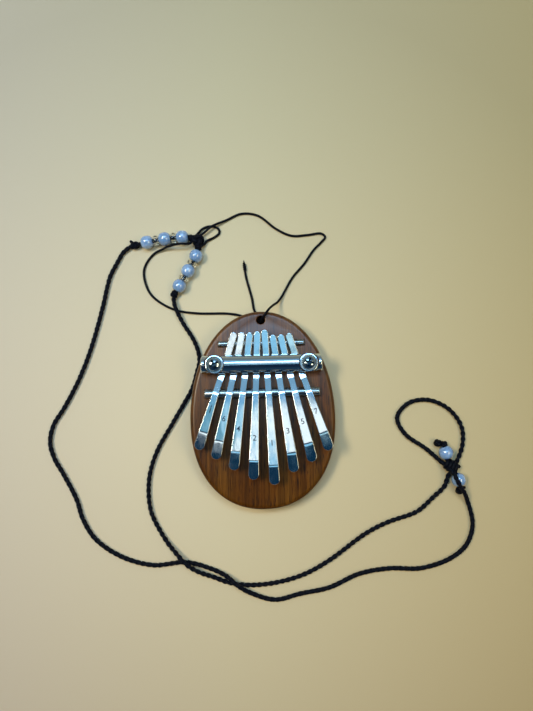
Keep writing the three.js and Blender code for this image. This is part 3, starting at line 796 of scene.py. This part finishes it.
def make_screw(side, turn):
    low, high = box_in_mm(f"bar_screw_{side}")
    top, radius = high.z, (high.x - low.x) / 2
    seat = top - HEAD_HEIGHT
    wall, edge, point = 0.75, 0.15, 0.8  # the head's upright side and lower edge, the shank's point
    dome = [(radius * math.cos(t), seat + wall + (top - seat - wall) * math.sin(t))
            for t in quarter_turns(10)]
    dome[-1] = (0, top)
    profile = [(0, low.z), (SHANK_R * 0.7, low.z), (SHANK_R, low.z + point), (SHANK_R, seat),
               (radius - edge, seat), (radius, seat + edge), *dome]
    vertices, faces = lathe(profile, 64)
    screw = new_object(f"pan_screw_{side}", vertices, faces, SCREW_STEEL, 40)
    pit = [(0, top + 0.4), (0.8, top + 0.4), (0.65, top - 0.9), (0, top - 1.4)]
    # the cutters' near-black painted shade goes onto the faces of the recess
    cutters = [*cross_cutter(top), new_object("cutter", *lathe(pit, 24), RECESS_PAINTED_SHADE)]
    carve(screw, cutters, 40)
    centre = Vector(((low.x + high.x) / 2, (low.y + high.y) / 2, 0)) * MM
    screw.data.transform(Matrix.Translation(centre) @ Matrix.Rotation(math.radians(turn), 4, "Z"))
    finish_piece(screw, [f"bar_screw_{side}"])


# Tines --------------------------------------------------------------------------------------


def tine_side(number):
    """Distances from the focus along one tine, and its underside as (distance, height) points."""
    tail, tip = TINE_TAILS[number - 1], TINE_TIPS[number - 1]
    lean = math.cos((number - 4.5) * TINE_PITCH)
    bridge = (FOCUS_Y - BRIDGE_Y) / lean
    rear = (FOCUS_Y - REAR_ROD_Y) / lean
    bend = tip - TIP_BEND
    bend_z = BRIDGE_Z + (bend - bridge) * BLADE_SLOPE
    line = [(tail, ROOT_PROFILE[0][1] + (rear - tail) * TAIL_SLOPE)]
    line += [((FOCUS_Y - y) / lean, z) for y, z in ROOT_PROFILE]
    line += [(bridge, BRIDGE_Z), (bend, bend_z), (tip, bend_z + TIP_BEND * TIP_SLOPE)]
    return tail, bridge, tip, np.array(line)


def tine_outline(tail, bridge, tip):
    """Half of the plan outline as (distance, half width), from pole to pole, and its normals."""
    tail_r, tip_r, waist = TINE_TAIL_WIDTH / 2, TINE_TIP_WIDTH / 2, TINE_BRIDGE_WIDTH / 2
    turns = np.linspace(0, math.pi / 2, 11)
    points = [(tail + tail_r - tail_r * math.cos(t), tail_r * math.sin(t)) for t in turns]
    first, last = tail + tail_r, tip - tip_r
    for s in np.arange(first + 0.5, last - 0.3, 0.5):
        end_half, end_at = (tail_r, first) if s < bridge else (tip_r, last)
        share = (s - bridge) / (end_at - bridge)
        points.append((s, waist + (end_half - waist) * share))
    points += [(tip - tip_r + tip_r * math.cos(t), tip_r * math.sin(t)) for t in reversed(turns)]
    points = np.array(points)
    along = np.gradient(points, axis=0)
    along = along / np.linalg.norm(along, axis=1)[:, None]
    normals = np.stack([-along[:, 1], along[:, 0]], axis=1)
    normals[0], normals[-1] = (-1, 0), (1, 0)
    return points, normals


def underside(side, s):
    """Height of a tine's underside at distances from the focus, with each bend rounded off."""
    reach = np.linspace(-0.5, 0.5, 11)
    inside = s[:, None] + reach[None, :]
    height = np.interp(inside, side[:, 0], side[:, 1])
    over = np.where(inside < side[0, 0], (side[0, 0] - inside) * TAIL_SLOPE, 0)
    over = over + np.where(inside > side[-1, 0], (inside - side[-1, 0]) * TIP_SLOPE, 0)
    return (height + over).mean(axis=1)


def tine_caps(start, count, loop):
    """Faces that close the flat top or underside of a tine, from one pole to the other."""
    faces = [[start, start + 1, start + loop - 1]]
    for i in range(1, count - 2):
        faces.append([start + i, start + i + 1, start + loop - i - 1, start + loop - i])
    faces.append([start + count - 2, start + count - 1, start + count])
    return faces


def make_tine(number):
    tail, bridge, tip, side = tine_side(number)
    points, normals = tine_outline(tail, bridge, tip)
    half = TINE_THICK / 2
    flat = TINE_EDGE_ROUND + 0.12
    upper = edge_round(TINE_EDGE_ROUND, half, -1, 3)
    levels = [(flat, half), *upper, *[(inset, -z) for inset, z in reversed(upper)], (flat, -half)]
    count = len(points)
    loop = 2 * count - 2
    vertices = []
    for offset, dz in levels:
        moved = points - normals * offset
        z = underside(side, moved[:, 0]) + half + dz
        near = [(s, h, height) for (s, h), height in zip(moved, z)]
        far = [(s, -h, height) for s, h, height in reversed(near[1:-1])]
        vertices += near + far
    faces = ring_faces(len(levels), loop, capped=False)
    faces += tine_caps(0, count, loop) + tine_caps((len(levels) - 1) * loop, count, loop)
    tine = new_object(f"steel_tine_{number}", vertices, faces, TINE_STEEL)
    mark_s = tip - NOTE_FROM_TIP
    mark_z = underside(side, np.array([mark_s]))[0] + TINE_THICK
    carve(tine, [note_cutter(number, mark_s, mark_z)], 32)
    angle = (number - 4.5) * TINE_PITCH
    tine.data.transform(
        Matrix.Translation((0, FOCUS_Y * MM, 0)) @ Matrix.Rotation(angle - math.pi / 2, 4, "Z"))
    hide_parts(f"tine_{number}_root", f"tine_{number}_blade")
    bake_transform(tine)


def note_cutter(number, s, z):
    """The stamped number of a tine, as a shallow cutter in the tine's own frame."""
    data = bpy.data.curves.new("note", "FONT")
    data.body = TINE_NOTES[number - 1]
    data.align_x, data.align_y = "CENTER", "CENTER"
    data.size = NOTE_SIZE * MM
    data.offset = NOTE_WEIGHT * MM
    data.extrude = NOTE_DEPTH * MM
    data.resolution_u = 4
    text = linked("note", data)
    bpy.context.view_layer.update()
    mesh = bpy.data.meshes.new_from_object(text.evaluated_get(bpy.context.evaluated_depsgraph_get()))
    bpy.data.objects.remove(text)
    parts = bmesh.new()
    parts.from_mesh(mesh)
    bmesh.ops.remove_doubles(parts, verts=parts.verts, dist=1e-6)
    if number in DOTTED_TINES:
        bmesh.ops.create_cone(parts, cap_ends=True, segments=16, radius1=DOT_R * MM, radius2=DOT_R * MM,
                              depth=2 * NOTE_DEPTH * MM, matrix=Matrix.Translation((0, DOT_ABOVE * MM, 0)))
    parts.to_mesh(mesh)
    parts.free()
    mesh.materials.clear()
    mesh.materials.append(STAMPED_MARK)
    cutter = linked("cutter", mesh)
    slope = math.atan(BLADE_SLOPE)
    upright = Matrix.Rotation(math.pi / 2, 4, "Z")
    mesh.transform(Matrix.Translation((s * MM, 0, z * MM)) @ Matrix.Rotation(-slope, 4, "Y") @ upright)
    return cutter


# Lanyard ------------------------------------------------------------------------------------


def braid(line):
    """Four strands braided round a line: two turn each way, over and under each other."""
    pitch, strand_r, ring_r, weave = 5.0, 0.57, 0.43, 0.08
    centres, along = evenly(line, pitch / 12)
    normals, binormals = carried_axes(centres)
    parts = []
    for way in (1, -1):
        for start in (0, math.pi):
            turn = way * 2 * math.pi * along / pitch + start
            radius = ring_r + way * weave * np.cos(4 * math.pi * along / pitch)
            strand = centres + (radius * np.cos(turn))[:, None] * normals
            strand = strand + (radius * np.sin(turn))[:, None] * binormals
            parts.append(sweep(strand, strand_r, 6))
    return (*joined(parts), centres)


def coil(centre, axis, radius, tall, length, turns, thread):
    """A thread wound round an axis: radius across and tall upright, drawn in at both ends."""
    axis = np.array(Vector(axis).normalized())
    side = np.cross((0, 0, 1), axis)
    side = side / np.linalg.norm(side)
    up = np.cross(axis, side)
    count = COIL_POINTS * turns
    t = np.linspace(0, 1, count)
    swell = np.sin(math.pi * (0.1 + 0.8 * t)) ** 0.35
    turn = 2 * math.pi * turns * t
    line = np.array(centre) + ((t - 0.5) * length)[:, None] * axis
    line = line + (radius * swell * np.cos(turn))[:, None] * side
    line = line + (tall * swell * np.sin(turn))[:, None] * up
    return sweep(line, thread, 8)


def tied(centre, half, turn_degrees, thread):
    """An overhand knot pulled tight: a torus knot squeezed to the given half sizes."""
    t = np.linspace(0, 2 * math.pi, 132, endpoint=False)
    loose = 2 + np.cos(3 * t)
    line = np.stack([loose * np.cos(2 * t), loose * np.sin(2 * t), 1.6 * np.sin(3 * t)], axis=1)
    room = (np.array(half) - thread) / np.abs(line).max(axis=0)
    line = line * room
    c, s = math.cos(math.radians(turn_degrees)), math.sin(math.radians(turn_degrees))
    line = line @ np.array([[c, s, 0], [-s, c, 0], [0, 0, 1]]) + np.array(centre)
    return sweep(line, thread, 10, closed=True)


def stub(start, end, radius):
    """A short cut-off end of cord."""
    line, _ = evenly(smooth_route([start, end], 0.4), 0.4)
    return sweep(line, radius, 10)


def cord_piece(name, parts, material, replaced):
    vertices, faces = joined(parts)
    piece = new_object(name, vertices, faces, material, 60)
    return finish_piece(piece, replaced)


def bead_profile(radius, length):
    """Rounded outside, and a bore with softened edges."""
    collar = BEAD_BORE_R + BEAD_COLLAR
    edge_turn = 0.42 * math.pi
    steps = 16
    points = []
    for i in range(steps + 1):
        turn = (2 * i / steps - 1) * edge_turn
        swell = (math.cos(turn) - math.cos(edge_turn)) / (1 - math.cos(edge_turn))
        height = length / 2 * math.sin(turn) / math.sin(edge_turn)
        points.append((collar + (radius - collar) * swell, height))
    soft = 0.12
    points += [(BEAD_BORE_R + soft, length / 2), (BEAD_BORE_R, length / 2 - soft)]
    points += [(BEAD_BORE_R, soft - length / 2), (BEAD_BORE_R + soft, -length / 2)]
    return points


def make_bead(name, node, centre, along, radius, length, material):
    vertices, faces = lathe(bead_profile(radius, length), 40)
    bead = new_object(name, turned_to(vertices, along, centre), faces, material, 50)
    return finish_piece(bead, [node])


def bead_strand(side, places, ends):
    """The three milky beads and two clear spacers of one side."""
    stops = [np.array(p, float) for p in (ends[0], *places, ends[1])]
    pieces = []
    for i in range(1, len(stops) - 1):
        along = stops[i + 1] - stops[i - 1]
        along[2] = 0
        pieces.append(make_bead(f"glass_bead_{side}_{i}", f"bead_{side}_{i}", stops[i], along,
                                BEAD_R, BEAD_LENGTH, MILKY_GLASS))
    for i in range(1, len(stops) - 2):
        along = stops[i + 1] - stops[i]
        middle = (stops[i] + stops[i + 1]) / 2
        pieces.append(make_bead(f"glass_spacer_{side}_{i}", f"spacer_{side}_{i}", middle, along,
                                SPACER_R, SPACER_LENGTH, CLEAR_GLASS))
    return pieces


def make_knots():
    """The knots on the neck cord, wound and tied from the same cord."""
    knots = [
        ("tied_knot_left", "neck_knot_left", [
            tied((-56.6, 75.4, 1.75), (2.2, 1.8, 1.7), 15, 0.72),
            stub((-57.4, 76.2, 1.9), (-58.4, 77.1, 1.9), 0.7),
        ]),
        ("tied_knot_right", "neck_knot_right", [
            tied((-38.8, 52.3, 1.75), (1.95, 1.8, 1.7), 60, 0.74),
        ]),
        ("lanyard_junction", "junction_knot", [
            tied((-28.0, 77.0, 2.0), (3.1, 3.0, 1.95), 20, 0.98),
            coil((-30.7, 77.9, 2.3), (-1, 0.25, 0), 1.15, 1.15, 1.9, 2, 0.65),
            coil((-27.7, 73.8, 2.3), (0.1, -1, 0), 1.15, 1.15, 2.2, 2, 0.65),
        ]),
    ]
    return [cord_piece(name, parts, BRAID_FIBRE, [node]) for name, node, parts in knots]


def make_slider():
    """The sliding knot: a thread wound round both cords, with a bead and a stopper at each end."""
    pieces = [cord_piece("slider_winding", [
        coil((81.7, -26.8, 2.5), (0.87, -0.5, 0), 2.1, 1.65, 5.8, 4, 0.84),
        stub((80.6, -24.4, 2.6), (79.3, -20.4, 3.0), THREAD_R),
        stub((83.2, -28.4, 2.6), (84.2, -31.8, 2.9), THREAD_R),
    ], WAXED_FIBRE, ["slider_knot", "slider_thread_upper", "slider_thread_lower"])]
    for side, centre, along, radius in (
        ("upper", (79.5, -20.9, 3.1), (-1.9, 5.8, 0), 3.1),
        ("lower", (84.35, -32.7, 3.0), (0.9, -5.7, 0), 3.0),
    ):
        pieces.append(make_bead(f"glass_bead_slider_{side}", f"slider_bead_{side}", centre, along,
                                radius, BEAD_LENGTH, MILKY_GLASS))
    stoppers = {
        "upper": [
            tied((76.5, -16.7, 1.85), (1.8, 1.7, 1.8), 0, 0.78),
            tied((79.2, -17.4, 1.85), (1.7, 1.6, 1.8), 40, 0.75),
            stub((78.7, -18.2, 2.8), (78.3, -17.2, 2.2), THREAD_R),
        ],
        "lower": [
            tied((84.8, -37.4, 1.85), (1.8, 1.6, 1.8), 25, 0.75),
            stub((86.0, -36.9, 1.8), (87.1, -36.2, 1.8), 0.65),
            stub((84.6, -36.4, 2.2), (84.4, -35.0, 2.6), THREAD_R),
        ],
    }
    for side, parts in stoppers.items():
        pieces.append(cord_piece(f"slider_stopper_{side}", parts, WAXED_FIBRE,
                                 [f"slider_stop_{side}"]))
    return pieces


def make_neck_cord():
    line = smooth_route(NECK_ROUTE, 0.6)
    vertices, faces, centres = braid(line)
    neck = new_object("neck_cord", vertices, faces, BRAID_FIBRE, 60)
    finish_piece(neck, ["neck_cord_left", "neck_cord_loop", "neck_cord_right",
                                        "bead_thread_left", "bead_thread_right"])
    pieces = bead_strand("left", LEFT_BEADS, LEFT_THREAD_ENDS)
    pieces += bead_strand("right", RIGHT_BEADS, RIGHT_THREAD_ENDS)
    pieces += make_knots() + make_slider()


def make_hanger_cord():
    """The thin waxed cord, from the knot behind the board, up through the hole, to its free tail."""
    line, _ = evenly(smooth_route(HANGER_ROUTE, 0.4), 0.7)
    data = bpy.data.curves.new("hanger_cord", "CURVE")
    data.dimensions = "3D"
    data.bevel_depth = WAXED_R * MM
    data.bevel_resolution = 3
    data.use_fill_caps = True
    spline = data.splines.new("POLY")
    spline.points.add(len(line) - 1)
    from_tip = np.linalg.norm(line - line[-1], axis=1)
    thin, taper = 0.3, 1.8               # share of the radius left at the tip, and its reach
    for point, place, far in zip(spline.points, line * MM, from_tip):
        point.co = (*place, 1)
        point.radius = min(1, thin + (1 - thin) * (far / taper) ** 2)
    spline.use_smooth = True
    data.materials.append(WAXED_FIBRE)
    cord = linked("hanger_cord", data)
    finish_piece(cord,
                 ["hanger_cord_long", "hanger_cord_left", "hanger_cord_tail", "hanger_bow_loop"])
    back_knot = cord_piece("hanger_knot", [
        tied((0, 38.5, 1.15), (2.4, 2.2, 1.1), 10, 0.5),
    ], WAXED_FIBRE, ["hanger_back_knot"])
    tail_knot = cord_piece("hanger_tail_end", [
        coil((-6.85, 64.2, 0.85), (-0.12, 1, 0), 0.42, 0.4, 3.6, 4, 0.42),
    ], WAXED_FIBRE, [])


# Table and light ----------------------------------------------------------------------------


def make_table():
    size = 1.6
    vertices = [(-size, -size, 0), (size, -size, 0), (size, size, 0), (-size, size, 0)]
    mesh = bpy.data.meshes.new("table")
    mesh.from_pydata(vertices, [], [(0, 1, 2, 3)])
    mesh.materials.append(table_top())
    table = linked("table", mesh)


def softbox(name, place, width, height, energy, colour):
    data = bpy.data.lights.new(name, "AREA")
    data.shape = "RECTANGLE"
    data.size, data.size_y = width, height
    data.energy = energy
    data.color = colour
    light = linked(name, data)
    light.location = place
    light.visible_camera = False


def make_world():
    """A dim room: navy above, pale walls beyond the top of the board and dark ones before it."""
    world = bpy.data.worlds.new("room")
    g = Graph(world)
    split = g.add("SeparateXYZ", Vector=g.add("TexCoord").outputs["Generated"])
    room = g.ramp(split.outputs["Z"], [(0.0, (0.30, 0.31, 0.28)), (0.45, (0.20, 0.23, 0.22)),
                                       (0.85, (0.03, 0.06, 0.10)), (1.0, (0.004, 0.05, 0.10))])
    walls = g.ramp(g.level(split.outputs["Y"], -0.7, 0.3), [(0, (0.08, 0.19, 0.36)), (1, grey(1))])
    g.put(g.tree.nodes["Background"].inputs["Color"], g.mix(1, room, walls, "MULTIPLY"))
    bpy.context.scene.world = world


def make_light():
    """Softboxes that face straight down, by place, width, depth, radiance and colour."""
    boxes = [
        ("window", (0, 0.285, 0.75), 0.6, 0.16, 9.5, (0.42, 0.70, 1.0)),
        ("left_lamp", (-0.44, 0.13, 0.75), 0.2, 0.28, 26.5, (1.0, 0.88, 0.65)),
        ("right_lamp", (0.5, -0.1, 0.75), 0.3, 0.5, 4.6, (1.0, 0.82, 0.48)),
        ("sky", (0, 0.62, 0.76), 0.7, 0.44, 0.5, (0.36, 0.7, 1.0)),
        ("upper_sheen", (0.02, 0.165, 0.75), 0.22, 0.08, 0.65, (0.25, 0.6, 1.0)),
        ("left_dim", (-0.1, 0.085, 0.75), 0.1, 0.14, 0.45, (0.33, 0.78, 1.0)),
        ("left_sheen", (-0.0325, 0.0925, 0.75), 0.035, 0.065, 0.9, (0.45, 0.8, 1.0)),
        ("left_glow", (-0.0335, 0.02, 0.75), 0.043, 0.08, 1.3, (0.97, 1.0, 0.97)),
        ("middle_glow", (0.0035, 0.091, 0.75), 0.037, 0.062, 1.25, (0.95, 1.0, 0.97)),
        ("middle_sheen", (0.005, 0.02, 0.75), 0.034, 0.08, 0.9, (0.42, 0.76, 1.0)),
        ("right_glow", (0.066, 0.071, 0.75), 0.088, 0.102, 1.25, (0.97, 1.0, 0.98)),
        ("tail_glow_left", (-0.144, -0.098, 0.75), 0.052, 0.056, 1.3, (0.96, 1.0, 1.0)),
        ("tail_glow", (-0.1, -0.11, 0.75), 0.036, 0.08, 1.3, (0.96, 1.0, 1.0)),
        ("tail_sheen", (0.009, -0.11, 0.75), 0.182, 0.08, 1.0, (0.34, 0.72, 1.0)),
        ("tail_end", (0.125, -0.1, 0.75), 0.05, 0.05, 1.05, (0.6, 0.9, 1.0)),
    ]
    for name, place, width, depth, radiance, colour in boxes:
        softbox(name, place, width, depth, radiance * math.pi * width * depth, colour)


# Build --------------------------------------------------------------------------------------

make_camera()
make_table()
make_world()
make_light()
make_neck_cord()
make_hanger_cord()
make_board()
make_rod("bridge_rod_front", "front_bridge_rod")
make_rod("bridge_rod_rear", "rear_bridge_rod")
make_bar()
for screw_side, screw_turn in (("left", 28), ("right", -14)):
    make_washer(screw_side)
    make_screw(screw_side, screw_turn)
for tine_number in range(1, len(TINE_TIPS) + 1):
    make_tine(tine_number)

bpy.context.scene.view_settings.view_transform = "Standard"
